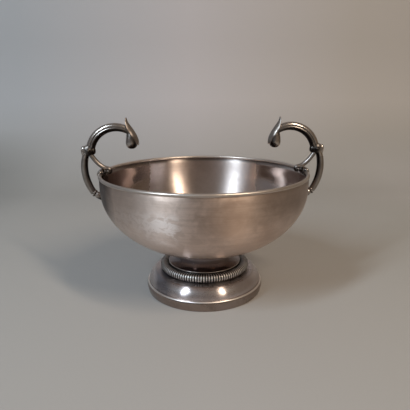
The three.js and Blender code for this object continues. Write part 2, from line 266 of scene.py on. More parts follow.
def arc(middle, radius, start, end, steps):
    """Points of an arc in the (x, z) plane between two angles in degrees."""
    angles = np.radians(np.linspace(start, end, steps + 1))
    return [(middle[0] + radius * math.cos(a), middle[1] + radius * math.sin(a)) for a in angles]


def ball(middle, long, wide, tall, tilt=0, rings=20, sides=28):
    """An egg shape with the three given widths, at (x, y, z), tilted about Y."""
    turn = math.radians(tilt)
    verts = []
    for i in range(rings + 1):
        polar = math.pi * i / rings
        for k in range(sides):
            angle = 2 * math.pi * k / sides
            x = long / 2 * math.sin(polar) * math.cos(angle)
            y = wide / 2 * math.sin(polar) * math.sin(angle)
            z = tall / 2 * math.cos(polar)
            verts.append((
                middle[0] + x * math.cos(turn) - z * math.sin(turn),
                middle[1] + y,
                middle[2] + x * math.sin(turn) + z * math.cos(turn),
            ))
    return weld(np.array(verts), sleeve(rings + 1, sides))


def weld(verts, faces):
    """Merges points that share a place and drops the faces that collapse."""
    keys, index = np.unique(np.round(verts, 4), axis=0, return_inverse=True)
    index = index.reshape(-1)
    kept = []
    for face in faces:
        short = list(dict.fromkeys(int(index[v]) for v in face))
        if len(short) > 2:
            kept.append(short)
    return keys, kept


def together(parts):
    """Several shapes as one list of points and faces."""
    verts, faces, start = [], [], 0
    for part_verts, part_faces in parts:
        verts.append(np.asarray(part_verts, float))
        faces += [[v + start for v in face] for face in part_faces]
        start += len(part_verts)
    return np.concatenate(verts), faces


def melted(name, parts, material, voxel, smooth):
    """Closed shapes cast into one skin, with soft fillets where they meet."""
    rough = mesh_object(name + "_rough", *together(parts), material)
    remesh = rough.modifiers.new("skin", "REMESH")
    remesh.mode = "VOXEL"
    remesh.voxel_size = voxel * MM
    soften = rough.modifiers.new("soften", "SMOOTH")
    soften.factor = 0.5
    soften.iterations = smooth
    graph = bpy.context.evaluated_depsgraph_get()
    mesh = bpy.data.meshes.new_from_object(rough.evaluated_get(graph))
    mesh.name = name
    mesh.polygons.foreach_set("use_smooth", [True] * len(mesh.polygons))
    piece = linked(name, mesh)
    bpy.data.objects.remove(rough)
    if not piece.data.materials:
        piece.data.materials.append(material)
    return piece


def vertex_rows(piece, key):
    """The places or the normals of a piece's points, one row each."""
    values = np.zeros(len(piece.data.vertices) * 3)
    piece.data.vertices.foreach_get(key, values)
    return values.reshape(-1, 3)


def hollows(piece):
    """How hollow the surface is at each point: about 0 on the ridges and 1 in the grooves."""
    place, normal = vertex_rows(piece, "co"), vertex_rows(piece, "normal")
    edges = np.zeros(len(piece.data.edges) * 2, int)
    piece.data.edges.foreach_get("vertices", edges)
    a, b = edges.reshape(-1, 2).T
    neighbours = np.bincount(a, minlength=len(place)) + np.bincount(b, minlength=len(place))

    def spread(values, rounds):
        """Every value becomes the mean of its neighbours, some times over."""
        for _ in range(rounds):
            total = np.zeros_like(values)
            np.add.at(total, a, values[b])
            np.add.at(total, b, values[a])
            values = total / np.maximum(neighbours, 1).reshape(-1, *([1] * (values.ndim - 1)))
        return values

    sink = ((spread(place, 3) - place) * normal).sum(1) / MM
    return 0.5 + spread(sink, 2) / SINK_RANGE


def store_dirt_and_shade(piece, values):
    """Keeps a value from 0 to 1 at each point, for the dirt, and on the main casting also painted shade,
    that silver() puts there.
    """
    layer = piece.data.attributes.new("hollow", "FLOAT", "POINT")
    layer.data.foreach_set("value", np.clip(values, 0, 1))


def finish_piece(piece, slot, *nodes):
    """Ties a piece to the body and to the nodes of the CAD model that it replaces. The slot is not used."""
    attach(piece, "root")
    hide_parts(*nodes)


def worn_edge(piece, material, where):
    """A second material on the faces whose middle, as radius and height, passes the test."""
    piece.data.materials.append(material)
    for polygon in piece.data.polygons:
        x, y, z = polygon.center / MM
        if where(math.hypot(x, y), z):
            polygon.material_index = 1


def mirrored(piece, name):
    """A copy of a piece on the other side of the plane X = 0."""
    mesh = piece.data.copy()
    mesh.name = name
    mesh.transform(Matrix.Scale(-1, 4, Vector((1, 0, 0))))
    mesh.flip_normals()
    return linked(name, mesh)


# Materials

# Fineness of the patterns, in features to the metre
CLOUDS = 38
SPOTS = 115
PATCHES = 150
FLECKS = 230
SPECKS = 260
STREAKS = 430
PAPER_GRAIN = 900
SPIN_LINES = 1400
SCRATCH_ACROSS = (3200, 2800)
SCRATCH_ALONG = 60

# Three sets of scratches: the turn of each in radians, and how fine it is beside the others
SCRATCH_SETS = (((0.1, 1.5, 0.5), 1.0), ((1.5, 0.2, 0.3), 0.8), ((0.8, 1.2, 0.9), 1.2))

# How the patterns of the bowl's pale patches are stretched, and turned in radians
PATCH_STRETCH = (0.8, 1, 1.2)
PATCH_TURN = (1.7, 0.2, 0.0)
FLECK_TURN = (0.5, 0.0, 1.9)

# The metres that a radian round the axis counts as, which draws the spin lines out long
METRES_TO_RADIAN = 0.004

# The height of the relief, and the dull veil over the metal
BUMP_HEIGHT = 0.2
VEIL_ROUGHNESS = 0.46
VEIL_IOR = 1.7

# Where the metals change, in millimetres: a change starts at the first limit and is full at the second.
# Where there are four limits, it fades from the third to the fourth.
PATCHES_LEFT = (-71, -60, -22, -14)
PATCHES_FRONT = (10, -30)
PATCHES_HIGH = (56, 65, 78, 85)
FLECKS_LEFT = (-32, -40)
GLOSSY_LOW = (60, 36)
INSIDE_SIDES = (36, 62)
INSIDE_ACROSS = (-20, 20)
INSIDE_LEFT = (16, -4)
INSIDE_RIGHT = (-4, 16)
INSIDE_GLOSSY = (44, 56)

# The tones of the patches outside and of the painted dark reflection at the ends inside
PALE_PATCH = (0.85, 0.765, 0.72)
PAINTED_DARK_INSIDE = (0.28, 0.23, 0.215)

# Marks, laid one after another: the tone, how far it covers the metal, and its limits along each axis.
# Off is the distance from the plane X = 0.
OUTSIDE_MARKS = {
    "clean underside": dict(tone=(0.92, 0.75, 0.66), cover=0.35, z=(80, 64)),
    # Paler metal on the left, a painted sheen that widens the left highlight.
    "clean left": dict(tone=(0.90, 0.77, 0.69), cover=0.5, x=(-70, -62, -44, -26)),
    "clean right": dict(tone=(0.88, 0.79, 0.76), cover=0.45, x=(34, 56)),
    # A painted dark reflection where the bowl's left edge turns away.
    "painted dark reflection at the left edge": dict(tone=(0.06, 0.045, 0.045), cover=0.82, x=(-62.5, -70), y=(-4, -18), z=(64, 76)),
    # Darker and browner towards the upper right.
    "browner upper right": dict(tone=(0.34, 0.27, 0.23), cover=0.4, x=(0, 18), z=(70, 84)),
}
INSIDE_MARKS = {
    "clean right half": dict(tone=(0.90, 0.80, 0.76), cover=0.5, x=INSIDE_RIGHT),
    # Painted shade under the rim wire.
    "painted shade under the wire": dict(tone=(0.08, 0.065, 0.06), cover=0.85, z=(RIM_Z - 5.5, RIM_Z - 3)),
}
RING_MARKS = {
    # Painted dark reflection on the ring's sides.
    "painted dark reflection at the sides": dict(tone=(0.16, 0.135, 0.13), cover=0.6, off=(29, 35)),
}
FOOT_MARKS = {
    # Painted shade on the shelf under the ring.
    "painted shade on the shelf": dict(tone=(0.16, 0.125, 0.12), cover=0.45, z=(SEAT_Z - 1.1, SEAT_Z - 0.3)),
    # A painted dark bluish reflection on the dome's left.
    "bluish left": dict(tone=(0.14, 0.13, 0.165), cover=0.8, x=(-40, -36.5, -30, -25.5), y=(0, -6)),
}


class Nodes:
    """Short calls for the nodes of one material."""

    def __init__(self, tree):
        self.tree = tree

    def new(self, kind, inputs=None, **settings):
        node = self.tree.nodes.new(kind)
        for key, value in settings.items():
            setattr(node, key, value)
        for key, value in (inputs or {}).items():
            self.put(node.inputs[key], value)
        return node

    def put(self, socket, value):
        if isinstance(value, bpy.types.NodeSocket):
            self.tree.links.new(value, socket)
        else:
            socket.default_value = value

    def math(self, operation, a, b=0.0):
        return self.new("ShaderNodeMath", {0: a, 1: b}, operation=operation).outputs[0]

    def plus(self, a, b):
        return self.math("ADD", a, b)

    def times(self, *factors):
        made = factors[0]
        for factor in factors[1:]:
            made = self.math("MULTIPLY", made, factor)
        return made

    def vector(self, operation, a, b=(0, 0, 0), result="Vector"):
        return self.new("ShaderNodeVectorMath", {0: a, 1: b}, operation=operation).outputs[result]

    def place(self):
        return self.new("ShaderNodeTexCoord").outputs["Object"]

    def axes(self):
        """The place as x, y and z, in metres."""
        return self.new("ShaderNodeSeparateXYZ", {"Vector": self.place()}).outputs

    def stretched(self, scale, turn):
        node = self.new("ShaderNodeMapping", {"Vector": self.place(), "Scale": scale, "Rotation": turn})
        return node.outputs[0]

    def noise(self, scale, detail, rough, vector=None, distortion=0.0):
        node = self.new("ShaderNodeTexNoise", {
            "Vector": vector or self.place(), "Scale": scale, "Detail": detail,
            "Roughness": rough, "Distortion": distortion,
        })
        return node.outputs["Fac"]

    def between(self, value, low, high, to_low=0.0, to_high=1.0):
        node = self.new("ShaderNodeMapRange", {
            "Value": value, "From Min": low, "From Max": high, "To Min": to_low, "To Max": to_high,
        })
        return node.outputs[0]

    def ramp(self, value, limits):
        """0 up to the first limit, 1 from the second, and 0 again past the fourth if there are four."""
        start, full, *end = (limit * MM for limit in limits)
        made = self.between(value, start, full)
        return self.times(made, self.between(value, end[1], end[0])) if end else made

    def lowered(self, value, share, least):
        """The value itself where the share is 0, going down to the least part of it where the share is 1."""
        return self.times(value, self.between(share, 0, 1, 1, least))

    def mix(self, share, a, b):
        """A blend of two colours, each a socket or three numbers."""
        node = self.new("ShaderNodeMix", {"Factor": share}, data_type="RGBA")
        for key, tone in (("A", a), ("B", b)):
            self.put(node.inputs[key], (*tone, 1.0) if isinstance(tone, tuple) else tone)
        return node.outputs["Result"]


def round_the_axis(nodes):
    """Coordinates that run round the axis: slow along the turn, fast up the profile."""
    x, y, z = nodes.axes()
    turn = nodes.times(nodes.math("ARCTAN2", y, x), METRES_TO_RADIAN)
    radius = nodes.math("SQRT", nodes.plus(nodes.times(x, x), nodes.times(y, y)))
    return nodes.new("ShaderNodeCombineXYZ", {"X": turn, "Y": radius, "Z": z}).outputs[0]


def scratches(nodes):
    """1 on long thin marks that run in three directions, and 0 between them."""
    marks = 0.0
    for turn, fine in SCRATCH_SETS:
        scale = (SCRATCH_ACROSS[0] * fine, SCRATCH_ACROSS[1] * fine, SCRATCH_ALONG)
        lines = nodes.noise(1, 2, 0.5, vector=nodes.stretched(scale, turn))
        marks = nodes.math("MAXIMUM", marks, nodes.between(lines, 0.68, 0.74))
    return marks


def facing_down_and_in(nodes):
    """How much the surface faces down and towards the axis, where the painted shade goes."""
    normal = nodes.new("ShaderNodeNewGeometry").outputs["Normal"]
    away = nodes.vector("NORMALIZE", nodes.vector("MULTIPLY", nodes.place(), (1, 1, 0)))
    outward = nodes.vector("DOT_PRODUCT", normal, away, "Value")
    upward = nodes.new("ShaderNodeSeparateXYZ", {"Vector": normal}).outputs[2]
    return nodes.times(nodes.plus(outward, upward), -0.8)


def marked(nodes, base, marks):
    """A metal with marks laid over it, one after another."""
    x, y, z = nodes.axes()
    axes = dict(x=x, y=y, z=z, off=nodes.math("ABSOLUTE", x))
    for mark in marks.values():
        ramps = [nodes.ramp(value, mark[axis]) for axis, value in axes.items() if axis in mark]
        base = nodes.mix(nodes.times(*ramps, mark["cover"]), base, mark["tone"])
    return base


def silver(
    name, tone, tarnish, rough, cloud, bump, scratch=0.0, spin=0.0, anisotropic=0.0, mottle=0.0, veil=0.0,
    dirt_and_shade_tone=None, painted_shade_tone=None, patch=None, marks=None,
):
    """Aged silver plate: clouds of tarnish, scratches, spin lines, marks, dirt in hollows, painted shade, a
    dull veil.
    """
    material = bpy.data.materials.new(name)
    material.use_nodes = True
    material.node_tree.nodes.clear()
    nodes = Nodes(material.node_tree)
    clouds = nodes.noise(CLOUDS, 5, 0.6, distortion=0.4)
    specks = nodes.noise(SPECKS, 3, 0.6)
    base = nodes.mix(nodes.between(clouds, 0.42, 0.68, 0, cloud), tone, tarnish)
    base = nodes.mix(nodes.between(specks, 0.52, 0.72, 0, 0.25), base, tarnish)
    if mottle:
        spots = nodes.noise(SPOTS, 4, 0.6, distortion=0.5)
        base = nodes.mix(nodes.between(spots, 0.44, 0.64, 0, mottle), base, tarnish)

    thin = scratches(nodes)
    roughness = nodes.between(clouds, 0.35, 0.7, rough * 0.85, rough * 1.25)
    roughness = nodes.plus(roughness, nodes.times(thin, 0.12 * scratch))
    height = nodes.plus(nodes.times(thin, -scratch), nodes.times(specks, 0.5))

    if spin:
        lines = nodes.noise(SPIN_LINES, 2, 0.5, vector=round_the_axis(nodes))
        height = nodes.plus(height, nodes.times(lines, spin))
        roughness = nodes.plus(roughness, nodes.between(lines, 0.3, 0.7, -0.03 * spin, 0.05 * spin))
        base = nodes.mix(nodes.between(lines, 0.45, 0.75, 0, 0.25 * spin), base, tarnish)
        streaks = nodes.noise(STREAKS, 3, 0.6, vector=round_the_axis(nodes))
        base = nodes.mix(nodes.between(streaks, 0.46, 0.66, 0, 0.45 * spin), base, tarnish)

    if patch:
        base, roughness = patch(nodes, base, roughness)
    if marks:
        base = marked(nodes, base, marks)

    # Dirt in the hollows; on the main casting this also carries painted shade on the arch's lower reeds.
    if dirt_and_shade_tone:
        depth = nodes.new("ShaderNodeAttribute", attribute_name="hollow").outputs["Fac"]
        dirt = nodes.times(nodes.between(depth, 0.48, 0.8), nodes.between(specks, 0.2, 0.6, 0.7, 1.0))
        base = nodes.mix(dirt, base, dirt_and_shade_tone)
        roughness = nodes.plus(roughness, nodes.times(dirt, 0.2))

    # Painted shade on the faces turned down and towards the axis.
    if painted_shade_tone:
        base = nodes.mix(nodes.between(facing_down_and_in(nodes), -0.05, 0.5), base, painted_shade_tone)

    relief = nodes.new("ShaderNodeBump", {"Height": height, "Strength": bump, "Distance": BUMP_HEIGHT * MM})
    shader = nodes.new("ShaderNodeBsdfPrincipled", {
        "Base Color": base, "Roughness": roughness, "Metallic": 1.0, "Normal": relief.outputs[0],
        "Anisotropic": anisotropic,
        "Coat Weight": veil, "Coat Roughness": VEIL_ROUGHNESS, "Coat IOR": VEIL_IOR,
    })
    if anisotropic:
        tangent = nodes.new("ShaderNodeTangent", direction_type="RADIAL", axis="Z")
        nodes.put(shader.inputs["Tangent"], tangent.outputs[0])
        nodes.put(shader.inputs["Anisotropic Rotation"], 0.25)
    nodes.new("ShaderNodeOutputMaterial", {"Surface": shader.outputs[0]})
    return material


def pale_patches(nodes, base, roughness):
    """Pale patches on the bowl's left front, where polish was wiped unevenly, and a glossy underside."""
    x, y, z = nodes.axes()
    cloudy = nodes.noise(PATCHES, 5, 0.7, vector=nodes.stretched(PATCH_STRETCH, PATCH_TURN), distortion=0.6)
    flecks = nodes.noise(FLECKS, 4, 0.7, vector=nodes.stretched((1, 1, 1), FLECK_TURN))
    flecks = nodes.times(nodes.between(flecks, 0.50, 0.58), nodes.ramp(x, FLECKS_LEFT))
    blots = nodes.math("MAXIMUM", nodes.between(cloudy, 0.48, 0.55), flecks)
    place = nodes.times(nodes.ramp(z, PATCHES_HIGH), nodes.ramp(x, PATCHES_LEFT))
    pale = nodes.times(place, nodes.ramp(y, PATCHES_FRONT), blots, 0.65)
    roughness = nodes.lowered(roughness, nodes.ramp(z, GLOSSY_LOW), 0.14)
    return nodes.mix(pale, base, PALE_PATCH), nodes.plus(roughness, nodes.times(pale, 0.08))


def painted_dark_ends(nodes, base, roughness):
    """Painted dark reflection in the bowl towards the handles, darker on the left, and a glossier left half.
    """
    x = nodes.axes()[0]
    off_middle = nodes.math("ABSOLUTE", x)
    sides = nodes.between(nodes.ramp(x, INSIDE_ACROSS), 0, 1, 0.8, 0.25)
    # How much painted dark reflection there is, stronger on the left.
    dull = nodes.times(nodes.ramp(off_middle, INSIDE_SIDES), sides)
    roughness = nodes.lowered(roughness, nodes.ramp(x, INSIDE_LEFT), 0.8)
    roughness = nodes.lowered(roughness, nodes.ramp(off_middle, INSIDE_GLOSSY), 0.24)
    return nodes.mix(dull, base, PAINTED_DARK_INSIDE), roughness


outside_plate = silver(
    "outside_plate", tone=(0.70, 0.56, 0.485), tarnish=(0.46, 0.35, 0.29), rough=0.56, cloud=0.8, bump=0.1,
    scratch=0.3, spin=0.9, anisotropic=0.86, mottle=0.65, patch=pale_patches, marks=OUTSIDE_MARKS,
)
inside_plate = silver(
    "inside_plate", tone=(0.60, 0.51, 0.47), tarnish=(0.42, 0.34, 0.30), rough=0.43, cloud=0.6, bump=0.06,
    scratch=0.3, spin=0.4, anisotropic=0.99, mottle=0.3, patch=painted_dark_ends, marks=INSIDE_MARKS,
)
rim_plate = silver(
    "rim_plate", tone=(0.60, 0.53, 0.48), tarnish=(0.48, 0.41, 0.36), rough=0.34, cloud=0.4, bump=0.02,
)
# The neck's dark tone is partly tarnish and partly painted dark reflection of the shaded underside of the
# bowl.
neck_plate = silver(
    "neck_plate", tone=(0.21, 0.175, 0.175), tarnish=(0.11, 0.09, 0.09), rough=0.17, cloud=0.7, bump=0.05,
    scratch=0.2, anisotropic=0.85,
)
ring_plate = silver(
    "ring_plate", tone=(0.98, 0.94, 0.91), tarnish=(0.85, 0.79, 0.75), rough=0.36, cloud=0.4, bump=0.15,
    dirt_and_shade_tone=(0.012, 0.01, 0.009), painted_shade_tone=(0.28, 0.24, 0.235), marks=RING_MARKS,
)
foot_plate = silver(
    "foot_plate", tone=(0.58, 0.51, 0.505), tarnish=(0.42, 0.35, 0.335), rough=0.25, cloud=0.7, bump=0.03,
    scratch=0.2, spin=0.3, anisotropic=0.95, mottle=0.3, veil=1.0, marks=FOOT_MARKS,
)
band_plate = silver(
    "band_plate", tone=(0.37, 0.30, 0.265), tarnish=(0.26, 0.20, 0.165), rough=0.25, cloud=0.7, bump=0.06,
    scratch=0.2, spin=0.2,
)
edge_plate = silver(
    "edge_plate", tone=(0.85, 0.79, 0.75), tarnish=(0.62, 0.54, 0.49), rough=0.34, cloud=0.4, bump=0.04,
)
cast_plate = silver(
    "cast_plate", tone=(0.50, 0.45, 0.415), tarnish=(0.30, 0.25, 0.22), rough=0.24, cloud=0.8, bump=0.08,
    scratch=0.2, dirt_and_shade_tone=(0.02, 0.016, 0.014), painted_shade_tone=(0.02, 0.016, 0.015),
)
leaf_plate = silver(
    "leaf_plate", tone=(0.34, 0.30, 0.275), tarnish=(0.22, 0.18, 0.155), rough=0.38, cloud=0.8, bump=0.08,
    scratch=0.2, dirt_and_shade_tone=(0.04, 0.032, 0.028),
)
strut_plate = silver(
    "strut_plate", tone=(0.36, 0.32, 0.295), tarnish=(0.22, 0.18, 0.16), rough=0.28, cloud=0.8, bump=0.08,
    scratch=0.2, dirt_and_shade_tone=(0.02, 0.016, 0.014), painted_shade_tone=(0.03, 0.025, 0.023),
)


# Body of the bowl


def belly(grow):
    """The bowl's outline from the axis up to the straight wall."""
    depth = SPRING_Z - BOWL_Z + grow
    made = []
    for a in np.linspace(math.pi / 2, 0, BELLY_STEPS + 1):
        radius = (WALL_RADIUS + grow) * max(0.0, math.cos(a)) ** (2 / BELLY_POWER)
        made.append((radius if a < math.pi / 2 - 1e-6 else 0.0, SPRING_Z - depth * math.sin(a)))
    return made


def bowl_shell():
    """The spun bowl, with a metal of its own on the inside."""
    top = RIM_Z - RIM_WIRE / 2
    outside = belly(0) + [(WALL_RADIUS, SPRING_Z + 4), (WALL_RADIUS, top)]
    inside = belly(-SHEET) + [(WALL_RADIUS - SHEET, SPRING_Z + 4), (WALL_RADIUS - SHEET, top)]
    piece = mesh_object("bowl", *revolve(outside + inside[::-1]), outside_plate)
    piece.data.materials.append(inside_plate)
    for polygon in piece.data.polygons:
        flat = Vector((polygon.normal.x, polygon.normal.y, 0))
        if flat.dot(polygon.center) < 0 or polygon.normal.z > 0.9:
            polygon.material_index = 1
    finish_piece(piece, "bowl_plate", "bowl_shell")


def rim_wire():
    """The round wire along the bowl's edge."""
    radius = RIM_WIRE / 2
    outline = arc((WIRE_RING, RIM_Z - radius), radius, 0, 360, WIRE_STEPS)[:-1]
    finish_piece(mesh_object("rim", *revolve(outline), rim_plate), "rim_plate", "rim_wire")


def under_bowl(radius):
    """Height of the bowl's underside at a radius."""
    share = min(1, radius / WALL_RADIUS) ** BELLY_POWER
    return SPRING_Z - (SPRING_Z - BOWL_Z) * math.sqrt(1 - share)


def neck():
    """A waist that flares to a sharp bright edge, with a skirt inside the ring."""
    skirt = FLARE_RADIUS - SKIRT_INSET
    bore = WAIST_RADIUS - SHEET
    waist_z = FLARE_Z + NECK_RISE * 0.85
    flare_edge = (FLARE_RADIUS - 0.15, FLARE_Z)
    outline = [
        (WAIST_RADIUS + 0.9, under_bowl(WAIST_RADIUS + 0.9) + 0.1),
        (WAIST_RADIUS + 0.35, under_bowl(WAIST_RADIUS + 0.6) - 0.5, 0.3),
        *bend((WAIST_RADIUS, waist_z), (WAIST_RADIUS + 0.6, FLARE_Z + 1.2), flare_edge, 22),
        (FLARE_RADIUS, FLARE_Z - 0.15),
        (FLARE_RADIUS, FLARE_Z - 0.5, 0.1),
        (skirt, FLARE_Z - SHEET, 0.3),
        (skirt, RING_Z - GAP),
        (skirt - SHEET, RING_Z - GAP),
        (skirt - SHEET, FLARE_Z - SHEET * 1.6, 1),
        (bore, waist_z - SHEET, 1),
        (bore, under_bowl(bore) + 0.1),
    ]
    piece = mesh_object("neck", *revolve(rounded(outline)), neck_plate)
    worn_edge(piece, edge_plate, lambda r, z: r > FLARE_RADIUS - 0.35 and z > FLARE_Z - 0.4)
    finish_piece(piece, "dark_plate", "neck_spool")


def gadroons():
    """A half-round ring of upright ribs: each rib is a rounded lobe with a tight groove on each side."""
    half = RING_HEIGHT / 2
    middle_r = RING_RADIUS - half
    middle_z = RING_Z + half
    inner = FLARE_RADIUS - SKIRT_INSET
    segments = RIB_COUNT * RIB_STEPS
    angles = np.linspace(0, 2 * math.pi, segments, endpoint=False)
    off_crest = np.abs((np.arange(segments) % RIB_STEPS) / RIB_STEPS * 2 - 1)
    lobe = 1 - np.sqrt(np.clip(1 - off_crest**2.2, 0, 1))
    rows, dirt = [], []
    for a in np.radians(np.linspace(-82, 74, RIB_ROWS)):
        cut = RIB_DEPTH * lobe * max(0.0, math.cos(a)) ** 0.6
        radius = middle_r + (half - cut) * math.cos(a)
        height = middle_z + (half - cut) * math.sin(a)
        rows.append(np.stack([radius * np.cos(angles), radius * np.sin(angles), height], 1))
        dirt.append(off_crest**0.48)
    for height in (FLARE_Z - SHEET, RING_Z - GAP):
        rows.append(np.stack([inner * np.cos(angles), inner * np.sin(angles), np.full(segments, height)], 1))
        dirt.append(np.ones(segments))
    faces = sleeve(len(rows), segments, closed=True)
    piece = mesh_object("gadroons", np.concatenate(rows), faces, ring_plate)
    store_dirt_and_shade(piece, np.concatenate(dirt))
    finish_piece(piece, "ring_plate", "gadroon_ring")


def foot_dome():
    """A flat shelf under the ring, a tight shoulder, then a full slope down to the band."""
    edge, edge_z = LIP_RADIUS - DOME_INSET + 0.27, BAND_HEIGHT - 0.2
    inner, under = edge - SHEET, SEAT_Z - SHEET
    hole = FLARE_RADIUS - SKIRT_INSET - SHEET * 2
    shoulder = (SHELF_RADIUS + SHOULDER, SEAT_Z - SHOULDER * 0.53)
    slope = (LIP_RADIUS - 0.2, SEAT_Z - DOME_RISE * 0.5)
    outline = [
        (hole, SEAT_Z, 0.2),
        *bend((SHELF_RADIUS - 0.1, SEAT_Z), (SHELF_RADIUS + SHOULDER * 0.35, SEAT_Z), shoulder, 12)[:-1],
        *bend(shoulder, slope, (edge, edge_z), 30),
        (edge, LEDGE_Z),
        (inner, LEDGE_Z),
        *bend((inner, edge_z), (inner, under - 3.6), (SHELF_RADIUS + 0.5, under - 0.7), 16),
        (SHELF_RADIUS - 0.6, under, 0.3),
        (hole, under, 0.2),
    ]
    piece = mesh_object("foot", *revolve(rounded(outline)), foot_plate)
    finish_piece(piece, "foot_plate", "foot_dome")


def foot_band():
    """A softly swelling wall that rolls in to a bright lip, with a ledge inside."""
    seat = LIP_RADIUS - 0.4
    inner = FOOT_RADIUS - BAND_DRAFT - BAND_SHEET
    outline = [
        (inner, 0, 0.15),
        (FOOT_RADIUS - BAND_DRAFT - 0.3, 0, 0.2),
        (FOOT_RADIUS - BAND_DRAFT, 0.5, 0.3),
        (FOOT_RADIUS + 0.05, BAND_HEIGHT - 3.4, 2.5),
        (FOOT_RADIUS - 0.1, BAND_HEIGHT - 1.5, 1),
        (FOOT_RADIUS - 0.6, BAND_HEIGHT - 0.3, 0.7),
        (LIP_RADIUS + 0.1, BAND_HEIGHT + 0.1, 0.45),
        (seat, BAND_HEIGHT - 0.35, 0.2),
        (seat, LEDGE_Z, 0.1),
        (seat - 1.6, LEDGE_Z, 0.3),
        (inner, LEDGE_Z - 1.6, 0.5),
    ]
    piece = mesh_object("foot_rim", *revolve(rounded(outline, 8)), band_plate)
    worn_edge(piece, edge_plate, lambda r, z: z > BAND_HEIGHT - 0.85)
    finish_piece(piece, "foot_plate", "foot_band")


# Handles, made on the right and mirrored


def on_handle(out, up):
    """A point of the handle: out from the rim's outer edge, up from the rim's top."""
    return np.array((BOWL_RADIUS + out, RIM_Z + up), float)


def on_arc(middle, radius, degrees):
    """A point of an arc in the (x, z) plane."""
    turn = math.radians(degrees)
    return middle + radius * np.array((math.cos(turn), math.sin(turn)))


def arm_angle(up):
    """Where on the arm's arc the height above the rim's top is reached, in degrees."""
    return math.degrees(math.asin((up - ARM_LIFT) / ARM_ARC_RADIUS))


ARM_MIDDLE = on_handle(ARM_REACH - ARM_ARC_RADIUS, ARM_LIFT)
KNOT = on_arc(ARM_MIDDLE, ARM_ARC_RADIUS, arm_angle(KNOT_LIFT)) - np.array((KNOT_INSET, 0))
ARCH_MIDDLE = KNOT - np.array((ARCH_ROOT_INSET + ARCH_RADIUS, ARCH_ROOT_DROP))
ARCH_TIP = on_arc(ARCH_MIDDLE, ARCH_RADIUS, ARCH_END)

# Widths along X, Y and Z of the knot's lobes and studs, and of the beads on the saddle and in the curl
OUTER_LOBE = (3.8, 5.6, 8.6)
INNER_LOBE = (3.2, 4.8, 6)
STUD = (3, 2, 3)
SADDLE_BEAD = (3, 3, 2.6)
CURL_BEAD = (2.4, STRUT_WIDE + 0.8, 2.4)

# The curl's turn in degrees, with the turn at which it would close to a point
CURL_START = 8
CURL_END = 400
CURL_CLOSE = 560

# Where along the strut its taper starts, and how much of its thickness it takes
TAPER_START = 0.4
STRUT_TAPER = 0.62

# Grooves along the arch: the place, width and depth of each, as shares of half the arch's thickness
REED_GROOVES = ((0.02, 0.12, 0.17), (-0.66, 0.1, 0.12))

# The leaf's curve, from the end of the arch, and its veins
LEAF_CORNERS = ((3.5, 10.7), (3.9, 4.4), (-5.4, -2), (-3.9, -9.5))
LEAF_STEPS = 72
LEAF_COLUMNS = 28
LEAF_LOBES = 3
LOBE_DEPTH = 0.06
VEIN_HEIGHT = 0.4
VEIN_WIDTH = 0.1
SIDE_VEINS = 7
SIDE_VEIN_LEAN = 1.6
SIDE_VEIN_HEIGHT = 0.15

# Dirt on the main casting, with painted shade on the arch's lower reeds: how far the knot's dirt reaches
# from its middle, and outwards from that, then how full each is in its place and over how many millimetres
# it fades
KNOT_REACH = 5.0
KNOT_OUTWARD = 3.9
KNOT_DIRT = 0.78
REED_SHADE = 0.7
ARM_DIRT = 0.58
SHORT_FADE = 1.2
LONG_FADE = 3


def leaf_path():
    """The leaf's middle line, from its tip down to its lip."""
    a, b, c, d = (ARCH_TIP + np.array(corner) for corner in LEAF_CORNERS)
    ts = np.linspace(0, 1, LEAF_STEPS + 1)
    return [(1 - t) ** 3 * a + 3 * t * (1 - t) ** 2 * b + 3 * t * t * (1 - t) * c + t**3 * d for t in ts]


def up_to_leaf(shape):
    """Pushes what would stand beyond the leaf back into its thickness."""
    verts, faces = shape
    line = np.array(leaf_path())[::-1]
    limit = np.interp(verts[:, 2], line[:, 1], line[:, 0], left=-np.inf, right=-np.inf)
    near = verts[:, 0] < ARCH_TIP[0] + 12
    verts[:, 0] = np.where(near, np.maximum(verts[:, 0], limit), verts[:, 0])
    return verts, faces


def lower_arm():
    """A plain bar from the boss up to the knot."""
    path = arc(ARM_MIDDLE, ARM_ARC_RADIUS, arm_angle(-ARM_FOOT_DROP), arm_angle(KNOT_LIFT - 2), ARM_STEPS)

    def size(t):
        return ARM_THICK / 2 * (0.93 + 0.1 * math.sin(math.pi * t)), ARM_WIDE / 2 * (0.95 + 0.07 * t)

    return tube(*along(path), ARM_SIDES, size)


def reeds(angle, t):
    """Grooves leave reeds between them along each side of the arch, and fade out at its ends."""
    height = math.sin(angle)
    fade = min(1, t / 0.08, (1 - t) / 0.06)
    grooves = (depth * math.exp(-(((height - place) / width) ** 2)) for place, width, depth in REED_GROOVES)
    return 1 - fade * sum(grooves)


def arch():
    """The reeded bar from the knot over to the leaf."""

    def size(t):
        return ARCH_THICK / 2 * (1 - 0.2 * t**3), ARCH_WIDE / 2 * (0.95 + 0.06 * math.sin(math.pi * t))

    path = arc(ARCH_MIDDLE, ARCH_RADIUS, ARCH_START, ARCH_END, ARCH_STEPS)
    return tube(*along(path), ARCH_SIDES, size, reeds)


def bud():
    """A drop: its stem in the end of the arch, its round end down."""
    half, belly_drop, stem = BUD_WIDE / 2, BUD_LONG * 0.6, BUD_WIDE * 0.375
    outline = [(0, 1.2), (stem, 0.8)]
    outline += bend((stem, -1), (half * 0.98, -belly_drop * 0.6), (half, -belly_drop), 14)
    outline += bend((half, -belly_drop - 0.4), (half * 0.98, -BUD_LONG), (0, -BUD_LONG), 18)
    verts, faces = revolve(outline, SMALL_ROUND_STEPS)
    return verts + np.array((ARCH_TIP[0], 0, ARCH_TIP[1])), faces


def knot():
    """A squashed ball with a lobe at each end and a stud on each face."""
    x, z = KNOT
    parts = [
        ball((x, 0, z), KNOT_LONG, KNOT_WIDE, KNOT_TALL, 25),
        ball((x + KNOT_LONG * 0.42, 0, z - 0.9), *OUTER_LOBE, -5),
        ball((x - KNOT_LONG * 0.36, 0, z), *INNER_LOBE, -8),
    ]
    for side in (-1, 1):
        parts.append(ball((x, side * KNOT_WIDE / 2, z - 0.3), *STUD))
    return parts


